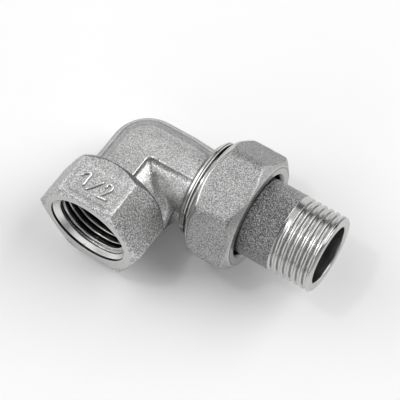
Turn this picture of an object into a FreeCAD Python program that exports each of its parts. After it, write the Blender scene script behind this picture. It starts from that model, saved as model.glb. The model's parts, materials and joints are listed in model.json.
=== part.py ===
"""Elbow union in half-inch size: forged elbow, union nut, tail piece and seal ring.

Millimetres, +Z up. The part lies on a table as it comes to rest, on one corner of the socket's hexagon
and one corner of the nut, so the tail points along +X and a little up, and the socket opens towards -Y
and a little up. The origin is the centre of the outer end of the socket's thread.
"""
import FreeCAD
import Part
import math
import os

import Sketcher

os.makedirs("parts", exist_ok=True)
doc = FreeCAD.newDocument("elbow_union")

# Driving dimensions, in millimetres and degrees

SIZES = [
    ("pipe_thread_major", 20.955),
    ("pipe_thread_minor", 18.631),
    ("union_thread_major", 26.441),
    ("union_thread_minor", 24.117),
    ("collar_clearance", 0.11),
    ("running_clearance", 0.05),
    ("socket_reach", 27.1),
    ("socket_flats", 27.0),
    ("socket_height", 14.1),
    ("socket_face_rim", 26.0),
    ("socket_face_slope", 20.0),
    ("socket_back_rim", 26.0),
    ("socket_back_slope", 45.0),
    ("mouth_diameter", 22.5),
    ("mouth_depth", 0.7),
    ("socket_thread_depth", 14.0),
    ("waterway", 15.5),
    ("drill_angle", 31.0),
    ("drill_overrun", 4.0),
    ("neck_diameter", 19.2),
    ("forging_offset", 0.45),
    ("bend_radius", 2.4),
    ("pad_height", 9.7),
    ("pad_inside", 4.3),
    ("pad_outside", 8.0),
    ("pad_round", 4.4),
    ("web_thickness", 3.0),
    ("web_inset", 0.3),
    ("collar_start", 17.4),
    ("collar_diameter", 23.7),
    ("collar_flare", 1.6),
    ("union_thread_start", 19.4),
    ("union_reach", 26.9),
    ("union_end_chamfer", 0.8),
    ("seal_bore", 16.4),
    ("seal_thickness", 1.5),
    ("tail_collar_thickness", 2.6),
    ("tail_collar_chamfer", 0.3),
    ("tail_length", 26.0),
    ("tail_pipe_diameter", 21.05),
    ("tail_thread_length", 11.6),
    ("tail_relief_diameter", 19.2),
    ("tail_relief_width", 0.5),
    ("tail_end_chamfer", 0.5),
    ("tail_bore", 15.7),
    ("tail_bore_chamfer", 0.3),
    ("nut_flats", 30.0),
    ("nut_height", 13.2),
    ("nut_corner_radius", 4.0),
    ("nut_turn_angle", 15.5),
    ("nut_rim", 28.6),
    ("nut_rim_slope", 37.0),
    ("nut_shoulder", 2.9),
    ("nut_hole", 22.1),
    ("nut_recess", 25.1),
    ("nut_mouth_chamfer", 0.7),
    ("tail_rise_angle", 11.5),
    ("socket_roll_angle", 14.7),
]

sheet = doc.addObject("Spreadsheet::Sheet", "sizes")
for row, (alias, value) in enumerate(SIZES, start=1):
    sheet.set("A%d" % row, alias)
    sheet.set("B%d" % row, str(value))
    sheet.setAlias("B%d" % row, alias)
doc.recompute()


def size(alias):
    """The expression that reads one cell of the sheet."""
    return "sizes." + alias


def value(expression):
    """The number that an expression comes to."""
    return float(sheet.evalExpression(expression))


# Stations along the union axis and the socket axis, measured from where the two axes cross

SOCKET_FACE = size("socket_reach")
SOCKET_BACK = "(sizes.socket_reach - sizes.socket_height)"
SOCKET_CORNER = "(sizes.socket_flats / 2 / cos(30 deg))"
SOCKET_STEP = "(sizes.socket_reach - sizes.mouth_depth)"
THREAD_END = "(%s - (sizes.mouth_diameter - sizes.pipe_thread_minor) / 2)" % SOCKET_STEP
SEAL_BACK = "(sizes.union_reach + sizes.seal_thickness)"
SHOULDER = "(%s + sizes.tail_collar_thickness)" % SEAL_BACK
TAIL_END = "(%s + sizes.tail_length)" % SEAL_BACK
NUT_FRONT = "(%s + sizes.nut_shoulder)" % SHOULDER
NUT_BACK = "(%s - sizes.nut_height)" % NUT_FRONT
NUT_CORNER = "(sizes.nut_flats / 2 / cos(30 deg))"
TAIL_COLLAR = "(sizes.union_thread_minor / 2 - sizes.collar_clearance)"
NUT_BORE = "(sizes.union_thread_major / 2 + sizes.running_clearance)"

# A turning tool runs this far past the surface that it cuts, and a joined run goes as far into its neighbour
OVERRUN = 1.0

# Two places closer than this are the same place
TOUCH = 1e-6


def new_body(name):
    """A body modelled about the crossing of its axes, X along the union and -Y out of the socket.

    Its placement lays it on the table: it rolls about the union axis until the socket has risen, then
    pitches until the tail has.
    """
    body = doc.addObject("PartDesign::Body", name)
    body.Label = name
    lay = "rotation(0; -sizes.tail_rise_angle; -sizes.socket_roll_angle)"
    body.setExpression("Placement", "placement(%s * vector(0; %s; 0); %s)" % (lay, THREAD_END, lay))
    return body


def attach(body, feature, role, turn=0.0):
    """Lay a sketch or primitive on one of the body's own origin planes."""
    planes = [plane for plane in body.Origin.OriginFeatures if plane.Role == role]
    feature.AttachmentSupport = [(planes[0], "")]
    feature.MapMode = "FlatFace"
    spin = FreeCAD.Rotation(FreeCAD.Vector(0, 0, 1), turn)
    feature.AttachmentOffset = FreeCAD.Placement(FreeCAD.Vector(0, 0, 0), spin)


def pin(sketch, line, end, axis, expression):
    """Fix one coordinate of a sketch point: on the axis if it is nought, else by a driven dimension."""
    if abs(value(expression)) < 1e-9:
        sketch.addConstraint(Sketcher.Constraint("PointOnObject", line, end, -2 if axis == "X" else -1))
        return
    sketch.addConstraint(Sketcher.Constraint("Distance" + axis, -1, 1, line, end, value(expression)))
    sketch.setExpression("Constraints[%d]" % (sketch.ConstraintCount - 1), expression)


def bulge(start, end, radius):
    """The arc of the given radius between two points; a negative radius bulges to the left."""
    chord = end - start
    middle = (start + end) / 2
    rise = math.sqrt(max(radius * radius - chord.Length ** 2 / 4, 0.0))
    left = FreeCAD.Vector(-chord.y, chord.x, 0).normalize()
    side = 1.0 if radius > 0 else -1.0
    centre = middle + left * (rise * side)
    top = centre - left * (abs(radius) * side)
    return Part.Arc(start, top, end)


def outline(body, name, role, corners, turn=0.0):
    """A closed sketch through driven corners.

    A corner is (x, y), or (x, y, radius) where an arc and not a line leads to the next corner.
    """
    sketch = body.newObject("Sketcher::SketchObject", name)
    attach(body, sketch, role, turn)
    points = [FreeCAD.Vector(value(corner[0]), value(corner[1]), 0) for corner in corners]
    arcs = {}
    for index, corner in enumerate(corners):
        start = points[index]
        end = points[(index + 1) % len(points)]
        if len(corner) == 3:
            arc = bulge(start, end, value(corner[2]))
            line = sketch.addGeometry(arc, False)
            ends = (1, 2)
            if (sketch.Geometry[line].StartPoint - start).Length > 1e-6:
                ends = (2, 1)
            sketch.addConstraint(Sketcher.Constraint("Radius", line, abs(value(corner[2]))))
            sketch.setExpression("Constraints[%d]" % (sketch.ConstraintCount - 1), "abs(%s)" % corner[2])
            arcs[index] = ends
        else:
            sketch.addGeometry(Part.LineSegment(start, end), False)
    for index, corner in enumerate(corners):
        following = (index + 1) % len(corners)
        here = arcs.get(index, (1, 2))
        there = arcs.get(following, (1, 2))
        sketch.addConstraint(Sketcher.Constraint("Coincident", index, here[1], following, there[0]))
        pin(sketch, index, here[0], "X", corner[0])
        pin(sketch, index, here[0], "Y", corner[1])
    return sketch


def turned(body, name, corners, kind="PartDesign::Revolution", turn=0.0):
    """A solid or a cut turned about the sketch's own first axis, from (station, radius) corners."""
    sketch = outline(body, name + "_profile", "XY_Plane", corners, turn)
    feature = body.newObject(kind, name)
    feature.Profile = sketch
    feature.ReferenceAxis = (sketch, ["H_Axis"])
    feature.Angle = 360
    doc.recompute()
    return feature


def turned_ends(body, name, corner, turn, ends):
    """Turn the ends of a hexagon down: each end is (station, rim radius, slope, +1 front or -1 back)."""
    for label, station, rim, slope, side in ends:
        tip = "(%s + %g)" % (corner, OVERRUN)
        setback = "(%s - %s) * tan(%s * 1 deg)" % (tip, rim, slope)
        inner = "(%s - %d * %s)" % (station, side, setback)
        beyond = "(%s + %d * %g)" % (station, side, OVERRUN)
        corners = [(station, rim), (inner, tip), (beyond, tip), (beyond, rim)]
        turned(body, name + "_" + label, corners, "PartDesign::Groove", turn)


def hexagon(body, name, role, corner, start, height, turn):
    """A hexagonal blank across its corners, from one station along its plane's normal."""
    prism = body.newObject("PartDesign::AdditivePrism", name)
    attach(body, prism, role, value(turn))
    prism.Polygon = 6
    prism.setExpression("Circumradius", corner)
    prism.setExpression("Height", height)
    prism.setExpression("AttachmentOffset.Base.z", start)
    prism.setExpression("AttachmentOffset.Rotation.Angle", turn)
    doc.recompute()
    return prism


def plate(body, name, corners, thickness):
    """A plate of the given outline, equally thick above and below the plane of the two axes."""
    sketch = outline(body, name + "_outline", "XY_Plane", corners)
    feature = body.newObject("PartDesign::Pad", name)
    feature.Profile = sketch
    feature.SideType = "Symmetric"
    feature.setExpression("Length", thickness)
    doc.recompute()
    return feature


def rounded(body, name, base, radius, chosen):
    """Round the edges of the last feature that the test chosen(edge) picks."""
    names = ["Edge%d" % number for number, edge in enumerate(base.Shape.Edges, start=1) if chosen(edge)]
    feature = body.newObject("PartDesign::Fillet", name)
    feature.Base = (base, names)
    feature.setExpression("Radius", radius)
    doc.recompute()
    return feature


# Elbow: one brass forging with a hexagonal socket, a round neck with flat pads, and a threaded union end

# Turning a sketch by this angle lays its first axis along the socket, towards -Y
TOWARDS_SOCKET = -90.0

NECK_RADIUS = "(sizes.neck_diameter / 2)"
BEND_X = "(sizes.bend_radius - sizes.forging_offset)"
BEND_Y = "(sizes.bend_radius + sizes.forging_offset)"
INTO_COLLAR = "(sizes.collar_start + %g)" % OVERRUN
INTO_SOCKET = "(%s + %g)" % (SOCKET_BACK, OVERRUN)


def elbow_pads(body):
    """L-shaped flats on the top and bottom of the forging, rounded over into its outer flank."""
    inner_x = "(sizes.pad_inside - sizes.forging_offset)"
    inner_y = "(-sizes.pad_inside - sizes.forging_offset)"
    outer_x = "(-sizes.pad_outside - sizes.forging_offset)"
    outer_y = "(sizes.pad_outside - sizes.forging_offset)"
    corner_radius = "(sizes.bend_radius + sizes.pad_outside)"
    pads = plate(body, "pads", [
        (outer_x, "-" + INTO_SOCKET),
        (inner_x, "-" + INTO_SOCKET),
        (inner_x, inner_y),
        (INTO_COLLAR, inner_y),
        (INTO_COLLAR, outer_y),
        ("(%s + %s)" % (outer_x, corner_radius), outer_y, corner_radius),
        (outer_x, "(%s - %s)" % (outer_y, corner_radius)),
    ], "2 * sizes.pad_height")
    height = value(size("pad_height"))
    flank_x = value(outer_x)
    flank_y = value(outer_y)

    def outer_edge(edge):
        middle = edge.valueAt((edge.FirstParameter + edge.LastParameter) / 2)
        level = abs(abs(middle.z) - height) < TOUCH
        flank = abs(middle.x - flank_x) < TOUCH or abs(middle.y - flank_y) < TOUCH
        return level and (flank or edge.Curve.TypeId == "Part::GeomCircle")

    rounded(body, "pad_flanks", pads, size("pad_round"), outer_edge)


def elbow_neck(body):
    """Two straight runs of the forged neck and, between them, a bend turned about its inner corner."""
    runs = [
        ("union_neck", "YZ_Plane", BEND_X, INTO_COLLAR),
        ("socket_neck", "XZ_Plane", BEND_Y, INTO_SOCKET),
    ]
    for name, role, start, end in runs:
        circle = body.newObject("Sketcher::SketchObject", name + "_section")
        attach(body, circle, role)
        circle.setExpression("AttachmentOffset.Base.z", start)
        offset = value("-sizes.forging_offset")
        middle = FreeCAD.Vector(offset, 0, 0)
        circle.addGeometry(Part.Circle(middle, FreeCAD.Vector(0, 0, 1), value(NECK_RADIUS)), False)
        circle.addConstraint(Sketcher.Constraint("Radius", 0, value(NECK_RADIUS)))
        circle.setExpression("Constraints[0]", NECK_RADIUS)
        pin(circle, 0, 3, "X", "-sizes.forging_offset")
        pin(circle, 0, 3, "Y", "0")
        run = body.newObject("PartDesign::Pad", name)
        run.Profile = circle
        run.setExpression("Length", "%s - %s" % (end, start))
        doc.recompute()
    half_chord = "sqrt(%s ^ 2 - sizes.bend_radius ^ 2)" % NECK_RADIUS
    section = outline(body, "bend_section", "XZ_Plane", [
        ("0", half_chord, NECK_RADIUS),
        ("(-sizes.bend_radius - %s)" % NECK_RADIUS, "0", NECK_RADIUS),
        ("0", "-" + half_chord),
    ])
    section.setExpression("AttachmentOffset.Base.x", BEND_X)
    section.setExpression("AttachmentOffset.Base.z", BEND_Y)
    bend = body.newObject("PartDesign::Revolution", "bend")
    bend.Profile = section
    bend.ReferenceAxis = (section, ["V_Axis"])
    bend.Angle = 90
    bend.Reversed = True
    doc.recompute()


def elbow_web(body):
    """The thin web that the forging dies leave in the inner corner, from the hexagon to the collar."""
    reach = "(%s - sizes.web_inset)" % SOCKET_CORNER
    foot = "(%s + (%s - sizes.socket_back_rim / 2) * tan(sizes.socket_back_slope * 1 deg))" % (SOCKET_BACK, reach)
    plate(body, "web", [
        ("0", "0"),
        ("0", "-" + foot),
        (reach, "-" + foot),
        (size("collar_start"), "(sizes.web_inset - sizes.collar_diameter / 2)"),
        (size("collar_start"), "0"),
    ], size("web_thickness"))


def elbow_union_end(body):
    """The turned end: a flare out of the neck, a coned collar, and the thread as a plain cylinder."""
    start = "(%s - sizes.forging_offset)" % NECK_RADIUS
    thread = "(sizes.union_thread_major / 2)"
    turned(body, "union_end", [
        ("(sizes.collar_start - sizes.collar_flare)", "0"),
        ("(sizes.collar_start - sizes.collar_flare)", start),
        (size("collar_start"), "(%s + sizes.collar_flare)" % start),
        (size("collar_start"), "(sizes.collar_diameter / 2)"),
        (size("union_thread_start"), thread),
        ("(sizes.union_reach - sizes.union_end_chamfer)", thread),
        (size("union_reach"), "(%s - sizes.union_end_chamfer)" % thread),
        (size("union_reach"), "0"),
    ])


def elbow_waterways(body):
    """The two bores, drilled from each end until they meet; the socket's is stepped and threaded."""
    bore = "(sizes.waterway / 2)"
    apex = "(-sizes.drill_overrun)"
    shoulder = "(%s + %s * tan(sizes.drill_angle * 1 deg))" % (apex, bore)
    turned(body, "union_bore", [
        (apex, "0"),
        (shoulder, bore),
        ("(sizes.union_reach + %g)" % OVERRUN, bore),
        ("(sizes.union_reach + %g)" % OVERRUN, "0"),
    ], "PartDesign::Groove")
    thread = "(sizes.pipe_thread_minor / 2)"
    mouth = "(sizes.mouth_diameter / 2)"
    bottom = "(sizes.socket_reach - sizes.socket_thread_depth)"
    turned(body, "socket_bore", [
        (apex, "0"),
        (shoulder, bore),
        ("(%s - (%s - %s) * tan(sizes.drill_angle * 1 deg))" % (bottom, thread, bore), bore),
        (bottom, thread),
        (THREAD_END, thread),
        (SOCKET_STEP, mouth),
        ("(%s + %g)" % (SOCKET_FACE, OVERRUN), mouth),
        ("(%s + %g)" % (SOCKET_FACE, OVERRUN), "0"),
    ], "PartDesign::Groove", TOWARDS_SOCKET)


def make_elbow():
    body = new_body("elbow_body")
    elbow_pads(body)
    hexagon(body, "socket_hexagon", "XZ_Plane", SOCKET_CORNER, SOCKET_BACK, size("socket_height"), "0")
    turned_ends(body, "socket", SOCKET_CORNER, TOWARDS_SOCKET, [
        ("face", SOCKET_FACE, "sizes.socket_face_rim / 2", "sizes.socket_face_slope", 1),
        ("back", SOCKET_BACK, "sizes.socket_back_rim / 2", "sizes.socket_back_slope", -1),
    ])
    elbow_neck(body)
    elbow_web(body)
    elbow_union_end(body)
    elbow_waterways(body)
    return body


# Seal ring: a flat washer between the elbow's end and the tail's collar


def make_seal():
    body = new_body("seal_ring")
    turned(body, "washer", [
        (size("union_reach"), "(sizes.seal_bore / 2)"),
        (SEAL_BACK, "(sizes.seal_bore / 2)"),
        (SEAL_BACK, TAIL_COLLAR),
        (size("union_reach"), TAIL_COLLAR),
    ])
    return body


# Tail piece: a collar that the nut pulls on, a rough pipe, and a turned end with the pipe thread


def make_tail():
    body = new_body("tail_piece")
    bore = "(sizes.tail_bore / 2)"
    collar = TAIL_COLLAR
    pipe = "(sizes.tail_pipe_diameter / 2)"
    thread = "(sizes.pipe_thread_major / 2)"
    relief = "(sizes.tail_relief_diameter / 2)"
    thread_start = "(%s - sizes.tail_thread_length)" % TAIL_END
    relief_end = "(%s - (%s - %s))" % (thread_start, thread, relief)
    relief_start = "(%s - sizes.tail_relief_width)" % relief_end
    turned(body, "tail", [
        (SEAL_BACK, bore),
        (SEAL_BACK, "(%s - sizes.tail_collar_chamfer)" % collar),
        ("(%s + sizes.tail_collar_chamfer)" % SEAL_BACK, collar),
        (SHOULDER, collar),
        (SHOULDER, pipe),
        ("(%s - (%s - %s))" % (relief_start, pipe, relief), pipe),
        (relief_start, relief),
        (relief_end, relief),
        (thread_start, thread),
        ("(%s - sizes.tail_end_chamfer)" % TAIL_END, thread),
        (TAIL_END, "(%s - sizes.tail_end_chamfer)" % thread),
        (TAIL_END, "(%s + sizes.tail_bore_chamfer)" % bore),
        ("(%s - sizes.tail_bore_chamfer)" % TAIL_END, bore),
    ])
    return body


# Union nut: a hexagon with rounded corners and turned ends, bored to pass the collar and stop it


def make_nut():
    body = new_body("union_nut")
    blank = hexagon(body, "nut_hexagon", "YZ_Plane", NUT_CORNER, NUT_BACK, size("nut_height"), size("nut_turn_angle"))
    height = value(size("nut_height"))

    def long_edge(edge):
        return abs(edge.BoundBox.XLength - height) < TOUCH

    rounded(body, "nut_corners", blank, size("nut_corner_radius"), long_edge)
    turned_ends(body, "nut", NUT_CORNER, 0.0, [
        ("front", NUT_FRONT, "sizes.nut_rim / 2", "sizes.nut_rim_slope", 1),
        ("back", NUT_BACK, "sizes.nut_rim / 2", "sizes.nut_rim_slope", -1),
    ])
    hole = "(sizes.nut_hole / 2)"
    recess = "(sizes.nut_recess / 2)"
    turned(body, "nut_bore", [
        ("(%s - %g)" % (NUT_BACK, OVERRUN), "0"),
        ("(%s - %g)" % (NUT_BACK, OVERRUN), "(%s + sizes.nut_mouth_chamfer + %g)" % (NUT_BORE, OVERRUN)),
        ("(%s + sizes.nut_mouth_chamfer)" % NUT_BACK, NUT_BORE),
        (SHOULDER, NUT_BORE),
        (SHOULDER, hole),
        ("(%s - (%s - %s))" % (NUT_FRONT, recess, hole), hole),
        ("(%s + %g)" % (NUT_FRONT, OVERRUN), "(%s + %g)" % (recess, OVERRUN)),
        ("(%s + %g)" % (NUT_FRONT, OVERRUN), "0"),
    ], "PartDesign::Groove")
    return body


NODES = [make_elbow(), make_seal(), make_tail(), make_nut()]
doc.recompute()

for item in doc.Objects:
    if "Invalid" in item.State or "Error" in item.State:
        raise RuntimeError("%s did not build: %s" % (item.Name, item.State))
for node in NODES:
    if node.Shape.isNull() or not node.Shape.isValid() or len(node.Shape.Solids) != 1:
        raise RuntimeError("%s is not one sound solid" % node.Label)
for node in NODES:
    node.Shape.exportStep("parts/%s.step" % node.Label)
    print("%-12s %9.1f mm3" % (node.Label, node.Shape.Volume))
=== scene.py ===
"""Looks of a half-inch elbow union in plated brass: forged elbow, loose nut, tail piece and seal.

Shapes are worked out in millimetres about the crossing of the elbow's two axes: x along the union
axis towards the tail, y away from the socket's mouth, z square to both. LAY and CROSSING carry them
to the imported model's frame, where the part lies on a table.
"""
import json

import bpy
import numpy as np
from mathutils import Matrix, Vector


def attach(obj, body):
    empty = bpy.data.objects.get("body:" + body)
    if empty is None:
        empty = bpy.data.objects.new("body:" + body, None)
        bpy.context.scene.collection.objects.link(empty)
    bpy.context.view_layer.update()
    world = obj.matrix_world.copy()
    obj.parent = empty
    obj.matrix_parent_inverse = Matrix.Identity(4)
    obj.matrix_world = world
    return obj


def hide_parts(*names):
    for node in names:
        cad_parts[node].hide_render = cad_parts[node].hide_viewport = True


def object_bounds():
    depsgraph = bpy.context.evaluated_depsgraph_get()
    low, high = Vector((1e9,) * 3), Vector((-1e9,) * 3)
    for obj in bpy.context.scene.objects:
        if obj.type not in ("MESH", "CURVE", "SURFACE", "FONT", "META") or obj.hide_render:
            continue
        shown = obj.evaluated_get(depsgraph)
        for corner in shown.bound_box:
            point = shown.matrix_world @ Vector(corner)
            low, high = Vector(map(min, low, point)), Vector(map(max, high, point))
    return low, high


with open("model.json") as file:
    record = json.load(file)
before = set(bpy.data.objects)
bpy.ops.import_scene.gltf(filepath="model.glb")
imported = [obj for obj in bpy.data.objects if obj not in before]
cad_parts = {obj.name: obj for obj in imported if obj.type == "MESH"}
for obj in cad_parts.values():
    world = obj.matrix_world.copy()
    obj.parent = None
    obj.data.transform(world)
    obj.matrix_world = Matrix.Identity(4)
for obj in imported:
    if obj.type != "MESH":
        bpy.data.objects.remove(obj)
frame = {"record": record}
cad_low, cad_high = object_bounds()

MM = 0.001
PITCH = 1.814
THREAD_DEPTH = 1.162

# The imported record's two thread mounts give both axes, and so the way in which the part lies

mounts = {mount["name"]: mount for mount in frame["record"]["mounts"]}
union_axis = np.array(mounts["tail_thread"]["axis"])
inward_axis = -np.array(mounts["socket_thread"]["axis"])
LAY = np.stack([union_axis, inward_axis, np.cross(union_axis, inward_axis)])
socket_place = np.array(mounts["socket_thread"]["pos_m"])
tail_place = np.array(mounts["tail_thread"]["pos_m"])
CROSSING = socket_place + inward_axis * ((tail_place - socket_place) @ inward_axis)


# Grids and profiles


def smooth(value):
    """A ramp from 0 to 1 that starts and ends level: 3v^2 - 2v^3 of the value held between 0 and 1."""
    held = np.clip(value, 0.0, 1.0)
    return held * held * (3.0 - 2.0 * held)


def bunched(count, places, width, extra):
    """Angles round a full turn, closer together near some places.

    A density of 1, plus extra times a bell of the given width at each place, is summed over the turn,
    and equal shares of the sum give the angles.
    """
    fine = np.linspace(0.0, 2.0 * np.pi, 7201)
    density = np.ones_like(fine)
    for place in places:
        apart = np.angle(np.exp(1j * (fine - place)))
        density += extra * np.exp(-((apart / width) ** 2))
    total = np.concatenate([[0.0], np.cumsum((density[1:] + density[:-1]) / 2.0)])
    return np.interp(np.arange(count) / count * total[-1], total, fine)


def hexagon_radius(angle, flats, corner):
    """Distance from the centre to a hexagon whose corners, at 0 and every 60 degrees, are rounded.

    On a flat it is half the width over flats divided by the cosine of the angle from the flat's
    middle. Near a corner it is where the ray leaves the corner's circle.
    """
    from_corner = np.abs((angle + np.pi / 6.0) % (np.pi / 3.0) - np.pi / 6.0)
    flat = flats / 2.0 / np.cos(np.pi / 6.0 - from_corner)
    centre = (flats / 2.0 - corner) / np.cos(np.pi / 6.0)
    inside = np.maximum(corner**2 - (centre * np.sin(from_corner)) ** 2, 0.0)
    arc = centre * np.cos(from_corner) + np.sqrt(inside)
    tangent = np.arctan2(corner / 2.0, centre + corner * np.cos(np.pi / 6.0))
    return np.where(from_corner < tangent, arc, flat)


def profile(corners, closed=False):
    """Rings of points along a profile with eased corners, one profile for each angle.

    Each corner is (ring, ease, steps): the ring of points it passes through, how far before and after
    the corner its curve begins and ends, and how many rings the straight run after it gets. The curve
    is the parabola with its control point on the corner.
    """
    rings = [np.asarray(corner[0], float) for corner in corners]
    count = len(rings)
    starts, ends, curves = [], [], []
    for index, (_, ease, _) in enumerate(corners):
        here = rings[index]
        before = rings[index - 1] if closed or index > 0 else here
        after = rings[(index + 1) % count] if closed or index < count - 1 else here
        back, forth = before - here, after - here
        back_length = np.linalg.norm(back, axis=-1, keepdims=True) + 1e-12
        forth_length = np.linalg.norm(forth, axis=-1, keepdims=True) + 1e-12
        enter = here + back / back_length * np.minimum(ease, 0.45 * back_length)
        leave = here + forth / forth_length * np.minimum(ease, 0.45 * forth_length)
        starts.append(enter)
        ends.append(leave)
        if ease > 0.0:
            share = np.linspace(0.0, 1.0, 5)[:, None, None]
            curves.append((1 - share) ** 2 * enter + 2 * share * (1 - share) * here + share**2 * leave)
        else:
            curves.append(here[None])
    rows = []
    for index, (_, _, steps) in enumerate(corners):
        rows.append(curves[index])
        if index < count - 1 or closed:
            share = np.linspace(0.0, 1.0, steps + 2)[1:-1, None, None]
            rows.append((1 - share) * ends[index] + share * starts[(index + 1) % count])
    return np.concatenate(rows)


def thread_cut(station, angle, start, first, last, fade):
    """How deep a right-hand thread is cut, from 0 on its crest to 1 at its root.

    Along the axis the cut repeats every pitch, and the whole pattern moves one pitch with each turn
    about the axis. Its flanks are level-ended ramps between a rounded crest and root. A groove comes
    in over the first fade length as its centre passes the first station, and the cut fades out over
    the second fade length before the last station.
    """
    phase = (station - start) / PITCH - angle / (2.0 * np.pi)
    cut = smooth((2.0 * np.abs(phase - np.round(phase)) - 0.20) / 0.56)
    centre = start + PITCH * (np.floor(phase) + 0.5 + angle / (2.0 * np.pi))
    return cut * smooth((centre - first) / fade[0]) * smooth((last - station) / fade[1])


def ring_at(station, radius, angle):
    """Points round the union axis, at a station along it and at these angles."""
    station = np.broadcast_to(station, angle.shape)
    return np.stack([station, radius * np.cos(angle), radius * np.sin(angle)], axis=-1)


def cut_inwards(points, on_wall, depth):
    """Moves the points of a wall towards the union axis by a depth."""
    radius = np.hypot(points[..., 1], points[..., 2])
    share = np.where(on_wall, (radius - depth) / radius, 1.0)
    points[..., 1] *= share
    points[..., 2] *= share


# Pieces


def make_piece(name, points, body, node, finish, marks, capped=False):
    """A closed piece from a grid of points: rings along the profile, both ends of the grid joined up.

    marks gives one number for each point, or each ring, under the names that the finishes read. A
    capped piece isn't joined up: a flat face closes each of its two end rings.
    """
    rings, turns = points.shape[:2]
    number = np.arange(rings * turns).reshape(rings, turns)
    beside, following = np.roll(number, -1, axis=1), np.roll(number, -1, axis=0)
    quads = np.stack([number, beside, np.roll(following, -1, axis=1), following], axis=-1)
    quads = quads[: rings - capped].reshape(-1, 4)
    flat = points.reshape(-1, 3)
    corner = flat[quads] - flat.mean(axis=0)
    volume = np.einsum("ij,ij->i", corner[:, 0], np.cross(corner[:, 1], corner[:, 2])).sum()
    volume += np.einsum("ij,ij->i", corner[:, 0], np.cross(corner[:, 2], corner[:, 3])).sum()
    way = -1 if volume < 0.0 else 1
    loops, sizes = quads[:, ::way].ravel(), np.full(len(quads), 4)
    if capped:
        loops = np.concatenate([loops, number[0, ::-way], number[-1, ::way]])
        sizes = np.append(sizes, [turns, turns])
    mesh = bpy.data.meshes.new(name)
    mesh.vertices.add(len(flat))
    mesh.vertices.foreach_set("co", (CROSSING + flat @ LAY * MM).astype(np.float32).ravel())
    mesh.loops.add(len(loops))
    mesh.loops.foreach_set("vertex_index", loops.astype(np.int32))
    mesh.polygons.add(len(sizes))
    mesh.polygons.foreach_set("loop_start", (np.cumsum(sizes) - sizes).astype(np.int32))
    mesh.update(calc_edges=True)
    mesh.validate()
    mesh.polygons.foreach_set("use_smooth", sizes == 4)
    for label, values in marks.items():
        values = np.asarray(values, float)
        if values.ndim == 1:
            values = np.repeat(values[:, None], turns, axis=1)
        layer = mesh.attributes.new(label, "FLOAT", "POINT")
        layer.data.foreach_set("value", values.astype(np.float32).ravel())
    piece = bpy.data.objects.new(name, mesh)
    bpy.context.scene.collection.objects.link(piece)
    mesh.materials.append(finish)
    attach(piece, body)
    if node:
        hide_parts(node)


# Elbow

SOCKET_REACH = 27.1
SOCKET_FLATS = 27.0
SOCKET_CORNER = 0.45
SOCKET_BACK = 13.0
FACE_RIM = 13.0
MOUTH_RADIUS = 11.25
MOUTH_FLOOR = SOCKET_REACH - 0.7
CONE_END = SOCKET_REACH - 2.65
PIPE_CREST = 9.3155
THREAD_FLOOR = 13.1
WATERWAY = 7.75
NECK_RADIUS = 9.6
FORGING_OFFSET = 0.45
BEND_RADIUS = 2.4
INNER_ROUNDING = 1.3
FAN_REACH = 11.0
PAD_HEIGHT = 9.7
PAD_INSIDE = -4.6
PAD_OUTSIDE = 8.0
PAD_CORNERS = (4.4, 0.45)
PAD_BLEND = 0.7
COLLAR_START = 17.4
FLARE_LIP = 18.15
COLLAR_RADIUS = 13.2
COLLAR_EDGE = 19.5
GROOVE_RADIUS = 12.3
UNION_REACH = 26.9
UNION_CREST = 13.2205
UNION_START = 20.9
PANEL_DEPTH = 0.09
PANEL_HALF = 5.9
PANEL_FRONT = -25.5
PANEL_REAR = -16.9
LOWER_OFFSET = (0.6, -0.6)

elbow_angles = bunched(
    252,
    np.radians([0, 60, 75, 90, 105, 117, 120, 180, 240, 243, 300]),
    np.radians(5.0),
    1.6,
)


def neck_section(angle):
    """The forged neck's radius at each angle, from its outer side (0) over the top (90 degrees).

    It is where a ray from the neck's axis leaves a circle joined to a flat pad: a rectangle with its
    outer corners rounded. The distances from both are blended where they are nearly equal.
    """
    low, high = np.zeros_like(angle), np.full_like(angle, 14.0)
    middle = (PAD_OUTSIDE + PAD_INSIDE) / 2.0
    half = (PAD_OUTSIDE - PAD_INSIDE) / 2.0
    for _ in range(40):
        radius = (low + high) / 2.0
        out, up = radius * np.cos(angle), radius * np.sin(angle)
        corner = np.where(out > middle, *PAD_CORNERS)
        side = np.abs(out - middle) - half + corner
        top = np.abs(up) - PAD_HEIGHT + corner
        pad = np.hypot(np.maximum(side, 0), np.maximum(top, 0)) + np.minimum(np.maximum(side, top), 0)
        pad = pad - corner
        circle = radius - NECK_RADIUS
        mix = np.maximum(PAD_BLEND - np.abs(pad - circle), 0.0) / PAD_BLEND
        distance = np.minimum(pad, circle) - mix * mix * PAD_BLEND / 4.0
        low, high = np.where(distance < 0.0, radius, low), np.where(distance < 0.0, high, radius)
    return (low + high) / 2.0


def socket_ring(station, radius, offset=0.0):
    """Points round the socket's axis at a distance from the crossing, towards the mouth."""
    angle = elbow_angles
    station = np.broadcast_to(station, angle.shape)
    return np.stack([-radius * np.cos(angle) - offset, -station, radius * np.sin(angle)], axis=-1)


def union_ring(station, radius, offset=0.0):
    """Points round the union axis at a distance from the crossing, towards the tail."""
    angle = elbow_angles
    station = np.broadcast_to(station, angle.shape)
    return np.stack([station, radius * np.cos(angle) - offset, radius * np.sin(angle)], axis=-1)


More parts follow.
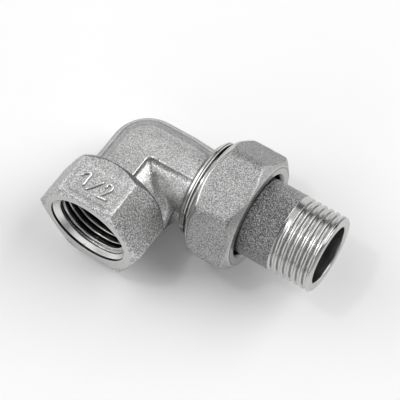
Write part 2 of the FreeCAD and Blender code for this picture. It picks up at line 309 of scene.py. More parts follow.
def bend(radius, offset, steps):
    """Rings that turn from the socket's leg to the union's leg.

    Each ring lies in an upright plane through one pivot in the inner corner. In that plane a point is
    moved out from the pivot until it is as far outside the neck's path as the section says. The path
    is two straight legs with a curve of BEND_RADIUS on the outside, and the inner corner is rounded
    more the further in a point lies.
    """
    turn = np.linspace(0.0, np.pi / 2.0, steps)[1:-1, None]
    outward = radius * np.cos(elbow_angles)[None]
    height = radius * np.sin(elbow_angles)[None] + 0.0 * turn
    way = np.stack([-np.cos(turn), np.sin(turn)])
    pivot = np.array([FAN_REACH, -FAN_REACH]) - offset
    reach = (outward + FAN_REACH) / np.maximum(np.cos(turn), np.sin(turn))
    inner = INNER_ROUNDING * np.clip((-BEND_RADIUS - outward) / 2.2, 0.0, 1.0)
    tight = outward < -BEND_RADIUS
    size = np.where(tight, inner, BEND_RADIUS + outward)
    centre_x = np.where(tight, -outward + inner, BEND_RADIUS) - offset
    centre_y = np.where(tight, outward - inner, -BEND_RADIUS) - offset
    spot_x = pivot[0] + reach * way[0]
    spot_y = pivot[1] + reach * way[1]
    to_x, to_y = pivot[0] - centre_x, pivot[1] - centre_y
    along = to_x * way[0] + to_y * way[1]
    inside = along**2 - (to_x**2 + to_y**2 - size**2)
    curved = (spot_x < centre_x) & (spot_y > centre_y) & (inside > 0.0)
    reach = np.where(curved, -along + np.sqrt(np.maximum(inside, 0.0)), reach)
    return np.stack([pivot[0] + reach * way[0], pivot[1] + reach * way[1], height], axis=-1)


def elbow_points():
    """The elbow's whole skin: out over the socket and neck to the union end, and back through the bores."""
    angle = elbow_angles
    neck = neck_section(angle)
    hexagon = hexagon_radius(angle, SOCKET_FLATS, SOCKET_CORNER)
    set_back = 20.0 - 17.0 * smooth(-np.sin(angle) * 1.3 - 0.2)
    face_edge = SOCKET_REACH - (hexagon - FACE_RIM) * np.tan(np.radians(set_back))
    back_edge = SOCKET_BACK + (hexagon - FACE_RIM)
    pivot = FAN_REACH + FORGING_OFFSET
    outside = [
        profile([
            (socket_ring(SOCKET_REACH, MOUTH_RADIUS), 0.12, 3),
            (socket_ring(SOCKET_REACH, FACE_RIM), 0.15, 2),
            (socket_ring(face_edge, hexagon), 0.35, 34),
            (socket_ring(back_edge, hexagon), 0.35, 3),
            (socket_ring(SOCKET_BACK, FACE_RIM), 0.25, 3),
            (socket_ring(SOCKET_BACK, neck, FORGING_OFFSET), 1.0, 1),
            (socket_ring(pivot, neck, FORGING_OFFSET), 0.0, 0),
        ]),
        bend(neck, FORGING_OFFSET, 40),
        profile([
            (union_ring(FAN_REACH - FORGING_OFFSET, neck, FORGING_OFFSET), 0.0, 8),
            (union_ring(COLLAR_START, neck * 0.35 + 9.4 * 0.65, FORGING_OFFSET * 0.6), 1.7, 1),
            (union_ring(COLLAR_START, 11.85), 0.1, 3),
            (union_ring(FLARE_LIP, 12.70), 0.1, 1),
            (union_ring(FLARE_LIP + 0.15, 13.0), 0.1, 3),
            (union_ring(FLARE_LIP + 0.8, 13.1), 0.05, 1),
            (union_ring(COLLAR_EDGE - 0.42, 12.85), 0.05, 1),
            (union_ring(COLLAR_EDGE - 0.3, COLLAR_RADIUS), 0.05, 1),
            (union_ring(COLLAR_EDGE, COLLAR_RADIUS), 0.08, 1),
            (union_ring(COLLAR_EDGE + 0.2, GROOVE_RADIUS), 0.1, 1),
            (union_ring(UNION_START - 0.4, GROOVE_RADIUS), 0.1, 1),
            (union_ring(UNION_START, UNION_CREST), 0.0, 36),
            (union_ring(UNION_REACH - 0.8, UNION_CREST), 0.0, 2),
            (union_ring(UNION_REACH, 12.4), 0.15, 6),
        ]),
    ]
    inside = [
        profile([
            (union_ring(UNION_REACH, WATERWAY + 0.3), 0.1, 1),
            (union_ring(UNION_REACH - 0.3, WATERWAY), 0.1, 6),
            (union_ring(FAN_REACH, WATERWAY), 0.0, 0),
        ]),
        bend(np.full_like(angle, WATERWAY), 0.0, 24)[::-1],
        profile([
            (socket_ring(FAN_REACH, WATERWAY), 0.0, 1),
            (socket_ring(THREAD_FLOOR - 1.0, WATERWAY), 0.2, 2),
            (socket_ring(THREAD_FLOOR, PIPE_CREST), 0.2, 64),
            (socket_ring(CONE_END, PIPE_CREST), 0.0, 22),
            (socket_ring(MOUTH_FLOOR, MOUTH_RADIUS), 0.05, 6),
            (socket_ring(SOCKET_REACH, MOUTH_RADIUS), 0.0, 0),
        ])[:-1],
    ]
    return np.concatenate(outside + inside)


def spread_lower_half(points):
    """Moves the hexagon's lower half outwards, as the lower die stood off a little.

    The move grows from nothing at the parting plane to LOWER_OFFSET at the lowest flat, and fades in
    from the mouth's edge to the hexagon's skin.
    """
    x, y, z = points[..., 0], points[..., 1], points[..., 2]
    share = smooth(-z / 9.0) * smooth((np.hypot(x, z) - 11.6) / 1.4) * smooth((-y - 13.2) / 2.0)
    points[..., 0] = x + LOWER_OFFSET[0] * share
    points[..., 2] = z + LOWER_OFFSET[1] * share


def sink_panel(points):
    """Sinks a flat panel with soft borders into the hexagon's top, round the size mark."""
    x, y, z = points[..., 0], points[..., 1], points[..., 2]
    across = smooth((PANEL_HALF - np.abs(x)) / 0.6)
    along = smooth((y - PANEL_FRONT) / 0.6) * smooth((PANEL_REAR - y) / 0.6)
    on_top = (np.abs(z - SOCKET_FLATS / 2.0) < 0.01) & (y < -SOCKET_BACK)
    points[..., 2] = np.where(on_top, z - PANEL_DEPTH * across * along, z)


def cut_socket_thread(points):
    """Cuts the pipe thread into the socket's wall, outwards from its crest cylinder."""
    radius = np.hypot(points[..., 0], points[..., 2])
    station = -points[..., 1]
    inside = (radius < MOUTH_RADIUS - 0.1) & (radius > PIPE_CREST - 0.02) & (station > THREAD_FLOOR + 0.1)
    angle = np.broadcast_to(elbow_angles, radius.shape)
    cut = thread_cut(-station, angle, 0.0, -SOCKET_REACH, -THREAD_FLOOR - 0.5, (0.1, 1.8))
    grown = np.where(inside, np.maximum(radius, PIPE_CREST + THREAD_DEPTH * cut) / radius, 1.0)
    points[..., 0] *= grown
    points[..., 2] *= grown


def cut_union_thread(points):
    """Cuts the union thread into the elbow's end, inwards from its crest cylinder."""
    radius = np.hypot(points[..., 1], points[..., 2])
    station = points[..., 0]
    on_wall = (np.abs(radius - UNION_CREST) < 0.01) & (station > UNION_START - 0.4)
    angle = np.broadcast_to(elbow_angles, radius.shape)
    cut = thread_cut(station, angle, UNION_START, UNION_START - 0.3, UNION_REACH + 0.7, (0.8, 0.5))
    cut_inwards(points, on_wall, THREAD_DEPTH * cut)


# Tail piece

SEAL_BACK = 28.4
SEAL_HOLE = 8.2
SHOULDER = 31.0
TAIL_END = 54.4
TAIL_BORE = 7.85
PIPE_RADIUS = 10.525
TAIL_CREST = 10.4775
TAIL_COLLAR = 11.9485
TAIL_PHASE = 43.95
TAIL_DEPTH = 0.85
BAND_START = 42.8


def turned_rings(turns, corners):
    """Rings of a piece turned about the union axis, from corners of (station, radius, ease, steps)."""
    angle = np.arange(turns) / turns * 2.0 * np.pi
    rings = [(ring_at(station, radius, angle), ease, steps) for station, radius, ease, steps in corners]
    return profile(rings, closed=True), angle


def tail_points():
    """The tail: collar, rough pipe, a machined step, and a pipe thread cut in from its crest cylinder."""
    points, angle = turned_rings(256, [
        (SEAL_BACK, TAIL_BORE, 0.1, 3),
        (SEAL_BACK, TAIL_COLLAR, 0.3, 3),
        (SHOULDER, TAIL_COLLAR, 0.15, 2),
        (SHOULDER, PIPE_RADIUS, 0.3, 24),
        (BAND_START, PIPE_RADIUS, 0.05, 1),
        (BAND_START + 0.08, TAIL_CREST, 0.0, 116),
        (TAIL_END - 0.5, TAIL_CREST, 0.0, 2),
        (TAIL_END, TAIL_CREST - 0.5, 0.1, 3),
        (TAIL_END, TAIL_BORE + 0.3, 0.1, 1),
        (TAIL_END - 0.3, TAIL_BORE, 0.1, 14),
    ])
    radius = np.hypot(points[..., 1], points[..., 2])
    station = points[..., 0]
    on_wall = (np.abs(radius - TAIL_CREST) < 0.01) & (station > BAND_START + 0.1)
    cut = thread_cut(station, angle[None], TAIL_PHASE, 43.5, TAIL_END + 0.1, (0.3, 0.5))
    cut_inwards(points, on_wall, TAIL_DEPTH * cut)
    return points


# Nut

NUT_BACK = 20.7
NUT_FRONT = 33.9
NUT_FLATS = 30.0
NUT_CORNER = 4.0
NUT_RIM = 14.3
NUT_BORE = UNION_CREST + 0.1
NUT_HOLE = 11.05
NUT_TURN = np.radians(15.5)
CHAMFER_SLOPE = np.tan(np.radians(37.0))


def nut_points():
    """The nut: a hexagon with rounded corners between two turned ends, bored, and threaded inside."""
    angle = bunched(288, NUT_TURN + np.radians(60.0) * np.arange(6), np.radians(9.0), 1.2)
    hexagon = hexagon_radius(angle - NUT_TURN, NUT_FLATS, NUT_CORNER)
    chamfer = (hexagon - NUT_RIM) * CHAMFER_SLOPE
    corners = [
        (NUT_BACK, NUT_BORE + 0.7, 0.05, 1),
        (NUT_BACK, NUT_RIM, 0.15, 4),
        (NUT_BACK + chamfer, hexagon, 0.7, 12),
        (NUT_FRONT - chamfer, hexagon, 0.7, 2),
        (NUT_FRONT, NUT_RIM, 0.25, 3),
        (NUT_FRONT, 12.1, 0.15, 2),
        (NUT_FRONT - 0.9, 11.35, 0.2, 2),
        (SHOULDER, NUT_HOLE, 0.1, 2),
        (SHOULDER, NUT_BORE, 0.3, 60),
        (NUT_BACK + 0.7, NUT_BORE, 0.0, 2),
    ]
    rings = [(ring_at(station, radius, angle), ease, steps) for station, radius, ease, steps in corners]
    points = profile(rings, closed=True)
    radius = np.hypot(points[..., 1], points[..., 2])
    station = points[..., 0]
    on_wall = (np.abs(radius - NUT_BORE) < 0.01) & (station < SHOULDER - 0.35)
    cut = thread_cut(station, angle[None], UNION_START, NUT_BACK + 0.4, SHOULDER - 2.0, (0.6, 0.8))
    cut_inwards(points, on_wall, (THREAD_DEPTH - 0.05) * cut)
    return points


# Finishes


class Wire:
    """An output socket of a material's tree. Arithmetic on it adds Math nodes."""

    def __init__(self, tree, socket=None):
        self.tree = tree
        self.socket = socket

    def node(self, kind, settings=None, inputs=None, output=0):
        """A new node of this kind, its settings made first, then its sockets' values or links."""
        made = self.tree.nodes.new(kind)
        for key, value in (settings or {}).items():
            setattr(made, key, value)
        for key, value in (inputs or {}).items():
            if isinstance(value, Wire):
                self.tree.links.new(value.socket, made.inputs[key])
            else:
                made.inputs[key].default_value = value
        return Wire(self.tree, made.outputs[output]) if made.outputs else made

    def math(self, operation, first, second):
        return self.node("ShaderNodeMath", {"operation": operation}, {0: first, 1: second})

    def __add__(self, other):
        return self.math("ADD", self, other)

    __radd__ = __add__

    def __sub__(self, other):
        return self.math("SUBTRACT", self, other)

    def __rsub__(self, other):
        return self.math("SUBTRACT", other, self)

    def __mul__(self, other):
        return self.math("MULTIPLY", self, other)

    __rmul__ = __mul__

    def band(self, low, high):
        """0 below low, 1 above high, and a level-ended ramp between."""
        return self.node(
            "ShaderNodeMapRange",
            {"interpolation_type": "SMOOTHSTEP"},
            {"Value": self, "From Min": low, "From Max": high},
        )


def new_material(name):
    """An empty material and the start of its tree."""
    material = bpy.data.materials.new(name)
    material.use_nodes = True
    material.node_tree.nodes.clear()
    return material, Wire(material.node_tree)


def blended(start, share, low, high):
    """A colour between two others."""
    return start.node(
        "ShaderNodeMix",
        {"data_type": "RGBA"},
        {0: share, 6: low, 7: high},
        output=2,
    )


def scaled(tone, share):
    """A colour's channels times a share, with full opacity."""
    return tuple(channel * share for channel in tone) + (1.0,)


# Of these marks, the second paints highlights into the colour and the fourth paints shade; the rest say
# which skin a point has and where its tool marks run.
MARKS = ("turned", "edge", "path", "painted_shade", "calm", "trimmed")
TURNED_TONE = (0.66, 0.657, 0.65)


def plated(name, tone, cut_share, grain, grain_size, contrast, roughness, pits, rim):
    """Plated brass. Forged or rough skin is grained and pitted, turned skin smoother, with tool marks.

    tone is the forged skin's colour, cut_share the brightness of turned skin, grain the grain's height,
    grain_size its size in millimetres, contrast the strength of its specks, and rim the tint that the
    metal takes at a grazing view. The marks on a piece say where each sort of skin is, and where
    highlights and shade are painted into the colour.
    """
    material, start = new_material(name)
    place = start.node("ShaderNodeTexCoord", output=3)
    turned, edge, path, painted_shade, calm, trimmed = (
        start.node("ShaderNodeAttribute", {"attribute_name": label}, output=2) for label in MARKS
    )

    def noise(size, detail=2.0, rough=0.5):
        return start.node(
            "ShaderNodeTexNoise",
            None,
            {"Vector": place, "Scale": 1.0 / (size * MM), "Detail": detail, "Roughness": rough},
        )

    fine = noise(grain_size)
    coarse = noise(grain_size * 2.6)
    cloud = noise(5.0, 3.0)
    pit = start.node(
        "ShaderNodeTexVoronoi",
        {"feature": "F1"},
        {"Vector": place, "Scale": 1.0 / (2.6 * MM), "Randomness": 1.0},
    )
    pit_mask = (1.0 - pit.band(0.05, 0.16)) * noise(2.2, 0.0).band(0.52, 0.6) * pits
    rough_skin = (1.0 - turned) * (1.0 - calm * 0.8) * (1.0 - trimmed * 0.6)
    marks = start.node(
        "ShaderNodeTexNoise",
        {"noise_dimensions": "1D"},
        {"W": path * 4.0, "Scale": 1.0, "Detail": 3.0},
    )
    speck = fine.band(0.40, 0.62)
    grainy = (speck - 0.5) * contrast * (1.0 - calm * 0.65) * (1.0 - trimmed * 0.5)
    # A painted highlight: the edge mark lightens the skin's colour.
    shade = grainy + coarse.band(0.35, 0.65) * 0.12 + cloud * 0.2 + edge * 0.35 - pit_mask * 0.6 + 0.3
    shade = shade + trimmed * (marks - 0.5)
    skin = blended(start, shade, scaled(tone, 0.5), scaled(tone, 1.5))
    dull, bright = scaled(TURNED_TONE, 0.6 * cut_share), scaled(TURNED_TONE, 1.35 * cut_share)
    cut = blended(start, marks, dull, bright)
    # A painted highlight: turned skin goes lighter where the edge mark is set.
    turned_highlight = blended(start, edge * turned, cut, scaled(TURNED_TONE, 1.35))
    # Painted shade: the colour goes towards near black where the shade mark is set.
    color = blended(start, painted_shade, blended(start, turned, skin, turned_highlight), scaled(TURNED_TONE, 0.08))
    height = (fine * 0.6 + coarse * 0.6) * rough_skin * grain + marks * (turned + trimmed * 0.8) * 0.012
    height = height - pit_mask * 0.12 + cloud * 0.05
    bump = start.node(
        "ShaderNodeBump",
        None,
        {"Height": height, "Distance": MM, "Strength": 1.0},
    )
    gloss = roughness + speck * rough_skin * -0.06 - turned * (roughness - 0.24) + edge * turned * 0.14
    shader = start.node(
        "ShaderNodeBsdfPrincipled",
        None,
        {
            "Base Color": color,
            "Metallic": 1.0,
            "Roughness": gloss,
            "Normal": bump,
            "Specular Tint": (rim, rim, rim, 1.0),
        },
    )
    start.node("ShaderNodeOutputMaterial", None, {"Surface": shader})
    return material


def rubber(name):
    """Dark seal material, matte, with a faint mottle."""
    material, start = new_material(name)
    place = start.node("ShaderNodeTexCoord", output=3)
    mottle = start.node(
        "ShaderNodeTexNoise", None, {"Vector": place, "Scale": 1.0 / (0.6 * MM), "Detail": 3.0}
    )
    color = blended(start, mottle, (0.03, 0.03, 0.032, 1.0), (0.07, 0.07, 0.072, 1.0))
    bump = start.node("ShaderNodeBump", None, {"Height": mottle * 0.04, "Distance": MM})
    shader = start.node(
        "ShaderNodeBsdfPrincipled",
        None,
        {"Base Color": color, "Roughness": 0.7, "Normal": bump},
    )
    start.node("ShaderNodeOutputMaterial", None, {"Surface": shader})
    return material


forging_finish = plated(
    "plated_forging", tone=(0.587, 0.587, 0.584), cut_share=1.1, grain=0.20, grain_size=0.32,
    contrast=1.2, roughness=0.42, pits=1.0, rim=0.65,
)
nut_finish = plated(
    "plated_nut", tone=(0.395, 0.395, 0.393), cut_share=1.0, grain=0.26, grain_size=0.28,
    contrast=0.8, roughness=0.42, pits=0.3, rim=0.75,
)
tail_finish = plated(
    "plated_tail", tone=(0.33, 0.33, 0.328), cut_share=0.88, grain=1.1, grain_size=0.30,
    contrast=1.9, roughness=0.36, pits=0.0, rim=0.95,
)
seal_finish = rubber("seal_rubber")


def path_length(points):
    """Distance along the profile from the first ring, taken at the first angle."""
    step = np.linalg.norm(np.diff(points[:, 0], axis=0), axis=-1)
    return np.concatenate([[0.0], np.cumsum(step)])


def bell(distance, width):
    """1 at no distance, falling off as a Gauss curve of the given width."""
    return np.exp(-((distance / width) ** 2))


# Small pits seen in the photograph, each at x, y, z and with its size

PITS = [
    (-4.9, -26.6, 12.8, 0.35),
    (-0.9, -27.1, 12.9, 0.30),
    (6.9, -27.1, 10.7, 0.30),
    (9.2, -27.1, 6.0, 0.25),
    (8.2, -13.8, 8.0, 0.35),
    (9.4, -12.6, 6.6, 0.35),
    (-7.0, -19.5, 13.1, 0.30),
]
SOCKET_REGION = 12.05


def elbow_places(points):
    """Coordinates, radii about both axes, which points are the socket's, and which its hexagon's."""
    x, y, z = points[..., 0], points[..., 1], points[..., 2]
    socket_radius, union_radius = np.hypot(x, z), np.hypot(y, z)
    in_socket = -y > SOCKET_REGION
    hexagon_part = in_socket & (socket_radius > FACE_RIM - 0.05) & (-y < SOCKET_REACH - 0.05)
    return x, y, z, socket_radius, union_radius, in_socket, hexagon_part


def low_corner(y, hexagon_part):
    """How near a point is to the hexagon's edge on the inner side of the bend, on its back half."""
    from_edge = np.angle(np.exp(1j * (elbow_angles - np.pi)))
    return hexagon_part * bell(from_edge, np.radians(1.5))[None] * (-y < 19.0)


def elbow_skin_and_highlights(points, cut_depth):
    """Which of the elbow's skin is turned, calm or trimmed or painted lighter, and its marks' path.

    The path runs along the profile on turned skin, and round the section where the neck was trimmed, so
    that its marks lie along the neck there.
    """
    x, y, z, socket_radius, union_radius, in_socket, hexagon_part = elbow_places(points)
    turned = np.zeros(points.shape[:2])
    turned[(-y > SOCKET_REACH - 0.02) & in_socket] = 1.0
    turned[in_socket & (socket_radius < MOUTH_RADIUS + 0.35)] = 1.0
    turned[(x > COLLAR_START + 0.1) & ~in_socket] = 1.0
    turned[(union_radius < WATERWAY + 0.05) & ~in_socket] = 1.0

    # Painted highlight along the hexagon's rounded corners.
    from_corner = np.abs((elbow_angles + np.pi / 6) % (np.pi / 3) - np.pi / 6)
    edge = hexagon_part * bell(from_corner, np.radians(1.8))[None]
    on_top = hexagon_part & (z > SOCKET_FLATS / 2.0 - 0.05)
    # Painted highlight along the panel's two sides on the hexagon's top.
    panel_side = bell(np.abs(x) - PANEL_HALF + 0.4, 0.35)
    panel_side = panel_side * smooth((y - PANEL_FRONT - 0.7) / 0.5) * smooth((PANEL_REAR - 0.7 - y) / 0.5)
    edge = edge + on_top * 0.5 * panel_side
    # Painted highlight on the collar's outer edge.
    collar = ~in_socket & (x > COLLAR_EDGE - 0.3) & (x < COLLAR_EDGE) & (union_radius > 13.0)
    edge = edge + 0.8 * collar
    neck = ~in_socket & (x < COLLAR_START) & (union_radius > 7.9) | (in_socket & (-y < SOCKET_BACK + 0.1))
    # Painted light: the neck's inner, upper side is made lighter.
    inner_side = smooth((-np.cos(elbow_angles) - 0.6) / 0.3) * smooth(np.sin(elbow_angles) / 0.2)
    edge = edge + 0.8 * neck * inner_side[None] * (union_radius > 7.9)
    # Painted highlight on the mouth's cone, and on the hexagon's corner at the inner side of the bend.
    in_mouth = in_socket & (socket_radius < MOUTH_RADIUS + 0.02)
    cone = in_mouth & (-y > CONE_END - 0.01) & (-y < MOUTH_FLOOR - 0.01) & (cut_depth < 0.02)
    edge = edge + 0.9 * cone + 0.8 * low_corner(y, hexagon_part)

    calm = 0.65 * on_top + 0.75 * (neck & (np.abs(z) > 9.0)) + 0.6 * neck * (np.abs(z) < 9.0)
    trimmed = smooth((np.cos(elbow_angles) - 0.20) / 0.22)[None] * neck * (socket_radius > 8.0)
    path = np.repeat(path_length(points)[:, None], len(elbow_angles), axis=1)
    path = np.where(trimmed > 0.02, np.broadcast_to(elbow_angles * 3.5, path.shape), path)
    return {"turned": turned, "edge": edge, "path": path, "calm": calm, "trimmed": trimmed}


def elbow_painted_shade(points, cut_depth):
    """Painted shade: in the threads and grooves, behind the hexagon, round the flare, and at the pits."""
    x, y, z, socket_radius, union_radius, in_socket, hexagon_part = elbow_places(points)
    # Painted shade in the socket's thread, deepest at the roots.
    threaded = in_socket & (-y < CONE_END + 0.05) & (socket_radius < 10.0)
    painted_shade = threaded * (0.15 + 0.85 * smooth(cut_depth / THREAD_DEPTH * 2.2))
    in_mouth = in_socket & (socket_radius < MOUTH_RADIUS + 0.02)
    # Painted shade on the mouth's step wall.
    painted_shade = painted_shade + 0.92 * (in_mouth & (-y > MOUTH_FLOOR - 0.01) & (-y < SOCKET_REACH - 0.02))
    on_top = hexagon_part & (z > SOCKET_FLATS / 2.0 - 0.05)
    # Painted shade along the panel's front step.
    panel_step = bell(y - PANEL_FRONT - 0.15, 0.32) * smooth((PANEL_HALF - np.abs(x)) / 0.4)
    painted_shade = painted_shade + 0.30 * on_top * panel_step
    # Painted shade on the hexagon's back face, left off where the highlight at its inner low corner is.
    behind = in_socket & (-y < SOCKET_BACK + socket_radius - FACE_RIM + 0.12) & (socket_radius > 10.0)
    painted_shade = (painted_shade + 0.6 * behind) * (1.0 - low_corner(y, hexagon_part))
    # Painted shade in the groove before the union thread, darkest on its far side.
    groove = ~in_socket & (x > COLLAR_EDGE + 0.05) & (x < UNION_START + 0.1) & (union_radius > 12.0)
    far_side = smooth((np.cos(elbow_angles - np.radians(20.0)) - 0.3) / 0.5)[None]
    painted_shade = painted_shade + groove * (0.25 + 0.73 * far_side)
    # Painted shade on the flare: a light wash over it, lines at its start and lip, and a dark band beyond
    # the lip.
    on_flare = ~in_socket & (union_radius > 11.8) & (x < COLLAR_EDGE - 0.35)
    lines = 0.35 * bell(x - FLARE_LIP, 0.13) + 0.25 * bell(x - COLLAR_START - 0.3, 0.3)
    lines = lines + 0.6 * smooth((x - FLARE_LIP - 0.6) / 0.15)
    painted_shade = painted_shade + on_flare * (lines + 0.08)
    # Painted shade: dark spots at the small pits.
    for pit_x, pit_y, pit_z, size in PITS:
        away = np.sqrt((x - pit_x) ** 2 + (y - pit_y) ** 2 + (z - pit_z) ** 2)
        painted_shade = painted_shade + 0.65 * bell(away, size)
    return np.minimum(painted_shade, 1.0)


def elbow():
    """The elbow: its plain skin gets the offset lower half, the panel and both threads."""
    points = elbow_points()
    plain = points.copy()
    spread_lower_half(points)
    sink_panel(points)
    before_cut = np.hypot(points[..., 0], points[..., 2])
    cut_socket_thread(points)
    cut_union_thread(points)
    cut_depth = np.hypot(points[..., 0], points[..., 2]) - before_cut
    marks = elbow_skin_and_highlights(plain, cut_depth)
    marks["painted_shade"] = elbow_painted_shade(plain, cut_depth)
    make_piece("elbow_forging", points, "elbow", "elbow_body", forging_finish, marks)


def tail():
    """The tail piece: rough pipe between turned ends, with painted shade in its bore and inside the nut."""
    points = tail_points()
    station = points[..., 0]
    radius = np.hypot(points[..., 1], points[..., 2])
    turned = ((station > BAND_START) | (station < SHOULDER + 0.2) | (radius < 9.0)).astype(float)
    in_bore = (radius < 8.0) & (station < TAIL_END - 0.32)
    in_nut = smooth((NUT_FRONT + 0.05 - station) / 0.2) * (radius > 9.0)
    depth = (TAIL_CREST - radius) / TAIL_DEPTH
    on_thread = (station > BAND_START + 0.2) * (station < TAIL_END - 0.55) * (radius > 9.0)
    flank = bell(depth - 0.5, 0.28) * on_thread
    # Painted shade: in the bore, on the part inside the nut, and on the thread's flanks.
    painted_shade = 0.3 * in_bore + 0.95 * in_nut + 0.32 * flank
    make_piece(
        "tail_tube", points, "tail", "tail_piece", tail_finish,
        {"turned": turned, "edge": 0.0 * turned, "path": path_length(points), "painted_shade": painted_shade},
    )


def nut():
    """The nut: turned chamfers and bore, a grained hexagon, painted shade inside and painted highlights on
    its rims.
    """
    points = nut_points()
    radius = np.hypot(points[..., 1], points[..., 2])
    station = points[..., 0]
    back = NUT_BACK + (radius - NUT_RIM) * CHAMFER_SLOPE + 0.12
    front = NUT_FRONT - (radius - NUT_RIM) * CHAMFER_SLOPE - 0.12
    turned = (radius < 13.9) + (radius >= 13.9) * smooth((back + 0.5 - station) / 0.25)
    turned = turned + 0.35 * ((radius >= 13.9) & (station > front))
    in_bore = (radius < 13.4) & (station < SHOULDER + 0.1)
    # Painted shade in the front recess and hole, and more in the bore and on the back face's inner part.
    painted_shade = 0.5 * smooth((12.05 - radius) / 0.2) + 0.4 * smooth((11.6 - radius) / 0.2)
    painted_shade = np.where(in_bore | ((radius < 14.05) & (station < NUT_BACK + 0.8)), 0.8, painted_shade)
    # Painted highlight lines along the rims at both ends.
    rim = bell(radius - NUT_RIM, 0.2) * ((station > NUT_FRONT - 0.4) | (station < NUT_BACK + 0.4))
    make_piece(
        "nut_hexagon", points, "nut", "union_nut", nut_finish,
        {"turned": turned, "edge": 1.5 * rim, "path": path_length(points), "painted_shade": painted_shade},
    )


def seal():
    """The seal: a flat washer with slightly rounded edges."""
    points, _ = turned_rings(160, [
        (UNION_REACH, SEAL_HOLE, 0.15, 4),
        (UNION_REACH, TAIL_COLLAR, 0.3, 2),
        (SEAL_BACK, TAIL_COLLAR, 0.3, 4),
        (SEAL_BACK, SEAL_HOLE, 0.15, 2),
    ])
    make_piece("seal_washer", points, "seal", "seal_ring", seal_finish, {})


WEB_START = -16.2
WEB_LENGTH = 9.7
WEB_INSIDE = 6.5
WEB_UPPER_EDGE = 15.9
WEB_LOWER_EDGE = 15.6
WEB_LEVEL = 1.2
WEB_STEEPEST = np.radians(50.0)


def eased_max(first, second, reach):
    """The larger of two values, with the step between them filled in where they are within reach."""
    near = np.maximum(reach - np.abs(first - second), 0.0)
    return np.maximum(first, second) + near * near / (4.0 * reach)


def leg_height(distance):
    """Height of the round neck at a distance from its axis, going on as a slope of 50 degrees."""
    side = NECK_RADIUS * np.sin(WEB_STEEPEST)
    top = np.sqrt(NECK_RADIUS**2 - np.minimum(distance, side) ** 2)
    return top - np.tan(WEB_STEEPEST) * np.maximum(distance - side, 0.0)


def web():
    """The web left by the forging dies in the inner corner, its lower half reaching further out.

    The sections lie side by side along y, from the hexagon's back to the union leg. Each is a flat
    outline in x and z: from inside the neck, over the top, round the outer edge, and back below. The
    top is the eased maximum of the web's own level and the heights of the two legs of the neck, kept
    below a plane that falls to the outer edge. The lower half's upper side slopes down where it shows
    beyond the upper half.
    """
    along = np.linspace(0.0, 1.0, 44)[:, None]
    share = np.concatenate([np.linspace(0.0, 0.88, 30), [0.91, 0.94, 0.97, 0.99, 1.0]])[None]
    y = WEB_START + along * WEB_LENGTH
    legs_y = leg_height(-y - FORGING_OFFSET)
    growth = np.minimum(along * 1.6, 1.0) ** 1.5
    upper_edge = WEB_UPPER_EDGE - 0.7 * growth
    lower_edge = WEB_LOWER_EDGE + 1.9 * growth
    for label, sign, edge_x in (("web_upper", 1.0, upper_edge), ("web_lower", -1.0, lower_edge)):
        x = WEB_INSIDE + (edge_x - WEB_INSIDE) * share
        legs = eased_max(leg_height(x + FORGING_OFFSET), legs_y, 3.0)
        level = eased_max(legs, WEB_LEVEL, 2.0) - 0.04
        level = -eased_max(-level, -0.1 - 0.97 * (edge_x - x), 1.0)
        round_off = np.sqrt(1.0 - np.clip(1.0 - (edge_x - x) / 1.6, 0.0, 1.0) ** 2)
        outer = sign * (0.1 + (level - 0.1) * round_off)
        beyond = smooth((x - upper_edge + 0.5) / np.maximum(edge_x - upper_edge + 0.5, 0.1))
        inner = -sign * 0.2 - (sign < 0) * 1.1 * beyond
        outer = np.where(sign < 0, np.minimum(outer, inner - 0.1), outer)
        xs = np.concatenate([x, x[:, ::-1]], axis=1)
        zs = np.concatenate([outer, np.broadcast_to(inner, x.shape)[:, ::-1]], axis=1)
        points = np.stack([xs, np.broadcast_to(y, xs.shape), zs], axis=-1)
        nothing = np.zeros(points.shape[:2])
        # Painted shade along the upper half's crease at the parting plane, and evenly over the lower half.
        crease = 0.7 * smooth((0.45 - np.abs(zs)) / 0.3) if sign > 0 else nothing + 0.3
        marks = {"turned": nothing, "edge": nothing, "path": nothing, "painted_shade": crease}
        marks["calm"] = nothing + 0.6
        make_piece(
            label, points, "elbow", None, forging_finish, marks, capped=True
        )


STROKE_HALF = 0.46
STROKE_HEIGHT = 0.6
STROKES = {
    "size_one": [
        (-5.0, -20.9), (-4.7, -19.9), (-3.6, -18.9), (-3.1, -19.3), (-3.15, -20.9), (-3.0, -23.1),
    ],
    "size_slash": [(-1.9, -23.6), (-0.4, -21.35), (1.1, -19.0)],
    "size_two": [
        (2.2, -20.5), (2.1, -19.6), (2.7, -18.95), (3.5, -19.3), (3.6, -20.5), (2.9, -21.8),
        (1.95, -23.4), (3.2, -23.25), (4.5, -23.25),
    ],
}


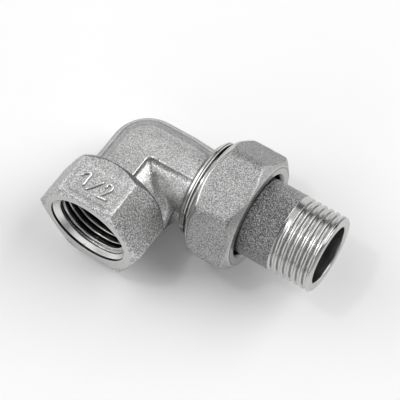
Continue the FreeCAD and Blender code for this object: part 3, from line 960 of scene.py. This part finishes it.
def size_mark():
    """The pipe size, raised on the hexagon's top: round-topped strokes along smooth paths.

    Each stroke's section is a flattened half round, carried along a path whose corners are eased by
    Catmull-Rom interpolation between the points given.
    """
    face = SOCKET_FLATS / 2.0 - PANEL_DEPTH
    for label, stroke in STROKES.items():
        corners = np.array(stroke)
        padded = np.vstack([2 * corners[0] - corners[1], corners, 2 * corners[-1] - corners[-2]])
        before, here, after, beyond = padded[:-3], padded[1:-2], padded[2:-1], padded[3:]
        t = np.linspace(0.0, 1.0, 9)[:-1][:, None, None]
        curve = 0.5 * (
            2 * here + (after - before) * t + (2 * before - 5 * here + 4 * after - beyond) * t**2
            + (3 * here - before - 3 * after + beyond) * t**3
        )
        path = np.concatenate([curve.transpose(1, 0, 2).reshape(-1, 2), corners[-1:]])
        way = np.gradient(path, axis=0)
        way /= np.linalg.norm(way, axis=1, keepdims=True)
        across = np.stack([way[:, 1], -way[:, 0]], axis=1)
        angle = np.linspace(0.0, 2.0 * np.pi, 17)[:-1]
        from_end = np.minimum(np.arange(len(path)), np.arange(len(path))[::-1])
        ends = np.sqrt(np.clip(from_end / 2.0, 0.15, 1.0))[:, None]
        xy = path[:, None] + across[:, None] * (STROKE_HALF * ends * np.cos(angle)[None])[..., None]
        z = face - 0.12 + STROKE_HEIGHT * ends * np.sin(angle)[None]
        points = np.concatenate([xy, z[..., None]], axis=-1)
        # Painted highlight on the strokes' tops, and painted shade round their foot.
        raised = np.clip(z - face, 0.0, 1.0) * 2.0
        nothing = 0.0 * raised
        foot = 0.9 * smooth((0.62 - raised) / 0.4)
        marks = {"turned": nothing, "edge": raised, "path": nothing, "painted_shade": foot, "calm": nothing + 1.0}
        make_piece(
            label, points, "elbow", None, forging_finish, marks, capped=True
        )


elbow()
web()
size_mark()
tail()
nut()
seal()


# Camera, as fitted to the photograph's edges

CAMERA_MM = np.array([122.339, -152.413, 303.164])
CAMERA_LENS = 125.12
CAMERA_ANGLES = (34.942, 59.171, -1.599)
azimuth, elevation, roll = np.radians(CAMERA_ANGLES)
side = np.array([np.cos(azimuth), np.sin(azimuth), 0.0])
back = np.array([
    np.sin(azimuth) * np.cos(elevation), -np.cos(azimuth) * np.cos(elevation), np.sin(elevation)
])
rise = np.cross(back, side)
right = np.cos(roll) * side + np.sin(roll) * rise
top = -np.sin(roll) * side + np.cos(roll) * rise
camera = bpy.data.objects.new("camera", bpy.data.cameras.new("camera"))
bpy.context.scene.collection.objects.link(camera)
turn = np.stack([right @ LAY, top @ LAY, back @ LAY], axis=1)
camera.matrix_world = Matrix.Translation(CROSSING + CAMERA_MM @ LAY * MM) @ Matrix(turn.tolist()).to_4x4()
camera.data.lens = CAMERA_LENS
camera.data.sensor_width = 36.0
camera.data.clip_start = 0.01
camera.data.clip_end = 10.0
bpy.context.scene.camera = camera


# Floor, world and lamps

FLOOR_REACH = 2.0
floor_mesh = bpy.data.meshes.new("floor")
level = min(cad_low.z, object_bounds()[0].z)
corners = [(-1, -1), (1, -1), (1, 1), (-1, 1)]
floor_mesh.from_pydata([(FLOOR_REACH * x, FLOOR_REACH * y, level) for x, y in corners], [], [(0, 1, 2, 3)])
floor = bpy.data.objects.new("floor", floor_mesh)
bpy.context.scene.collection.objects.link(floor)
floor_finish, start = new_material("floor_white")
shader = start.node(
    "ShaderNodeBsdfPrincipled",
    None,
    {"Base Color": (0.91, 0.91, 0.91, 1.0), "Roughness": 0.8},
)
start.node("ShaderNodeOutputMaterial", None, {"Surface": shader})
floor_mesh.materials.append(floor_finish)

world = bpy.data.worlds.new("studio")
bpy.context.scene.world = world
world.use_nodes = True
world.node_tree.nodes["Background"].inputs["Color"].default_value = (1.0, 1.0, 1.0, 1.0)
world.node_tree.nodes["Background"].inputs["Strength"].default_value = 0.06

LAMP_AIM = CROSSING + np.array([0.02, 0.0, 0.0])


def lamp(name, direction, distance, size, power):
    """A square area lamp that looks at the part from a direction."""
    light = bpy.data.lights.new(name, "AREA")
    light.shape = "SQUARE"
    light.size = size
    light.energy = power
    holder = bpy.data.objects.new(name, light)
    bpy.context.scene.collection.objects.link(holder)
    z_axis = np.array(direction, float)
    z_axis /= np.linalg.norm(z_axis)
    x_axis = np.cross([0.0, 1.0, 0.0], z_axis)
    x_axis /= np.linalg.norm(x_axis)
    look = Matrix(np.stack([x_axis, np.cross(z_axis, x_axis), z_axis], axis=1).tolist())
    holder.matrix_world = Matrix.Translation(LAMP_AIM + z_axis * distance) @ look.to_4x4()


LAMPS = [
    ("left_low_lamp", (-0.9, -0.2, 0.45), 29.0),
    ("left_high_lamp", (-0.6, -0.1, 0.8), 27.5),
    ("back_left_lamp", (-0.5, 0.6, 0.65), 16.0),
    ("back_right_lamp", (0.5, 0.6, 0.65), 75.0),
    ("front_lamp", (-0.1, -0.85, 0.5), 20.0),
    ("right_lamp", (0.9, -0.3, 0.35), 8.0),
]
for name, direction, power in LAMPS:
    lamp(name, direction, distance=3.0, size=2.6, power=power)
lamp("top_lamp", np.array([-0.22, -0.31, 0.925]) @ LAY, distance=1.5, size=0.1, power=1.6)

bpy.context.scene.view_settings.view_transform = "Standard"
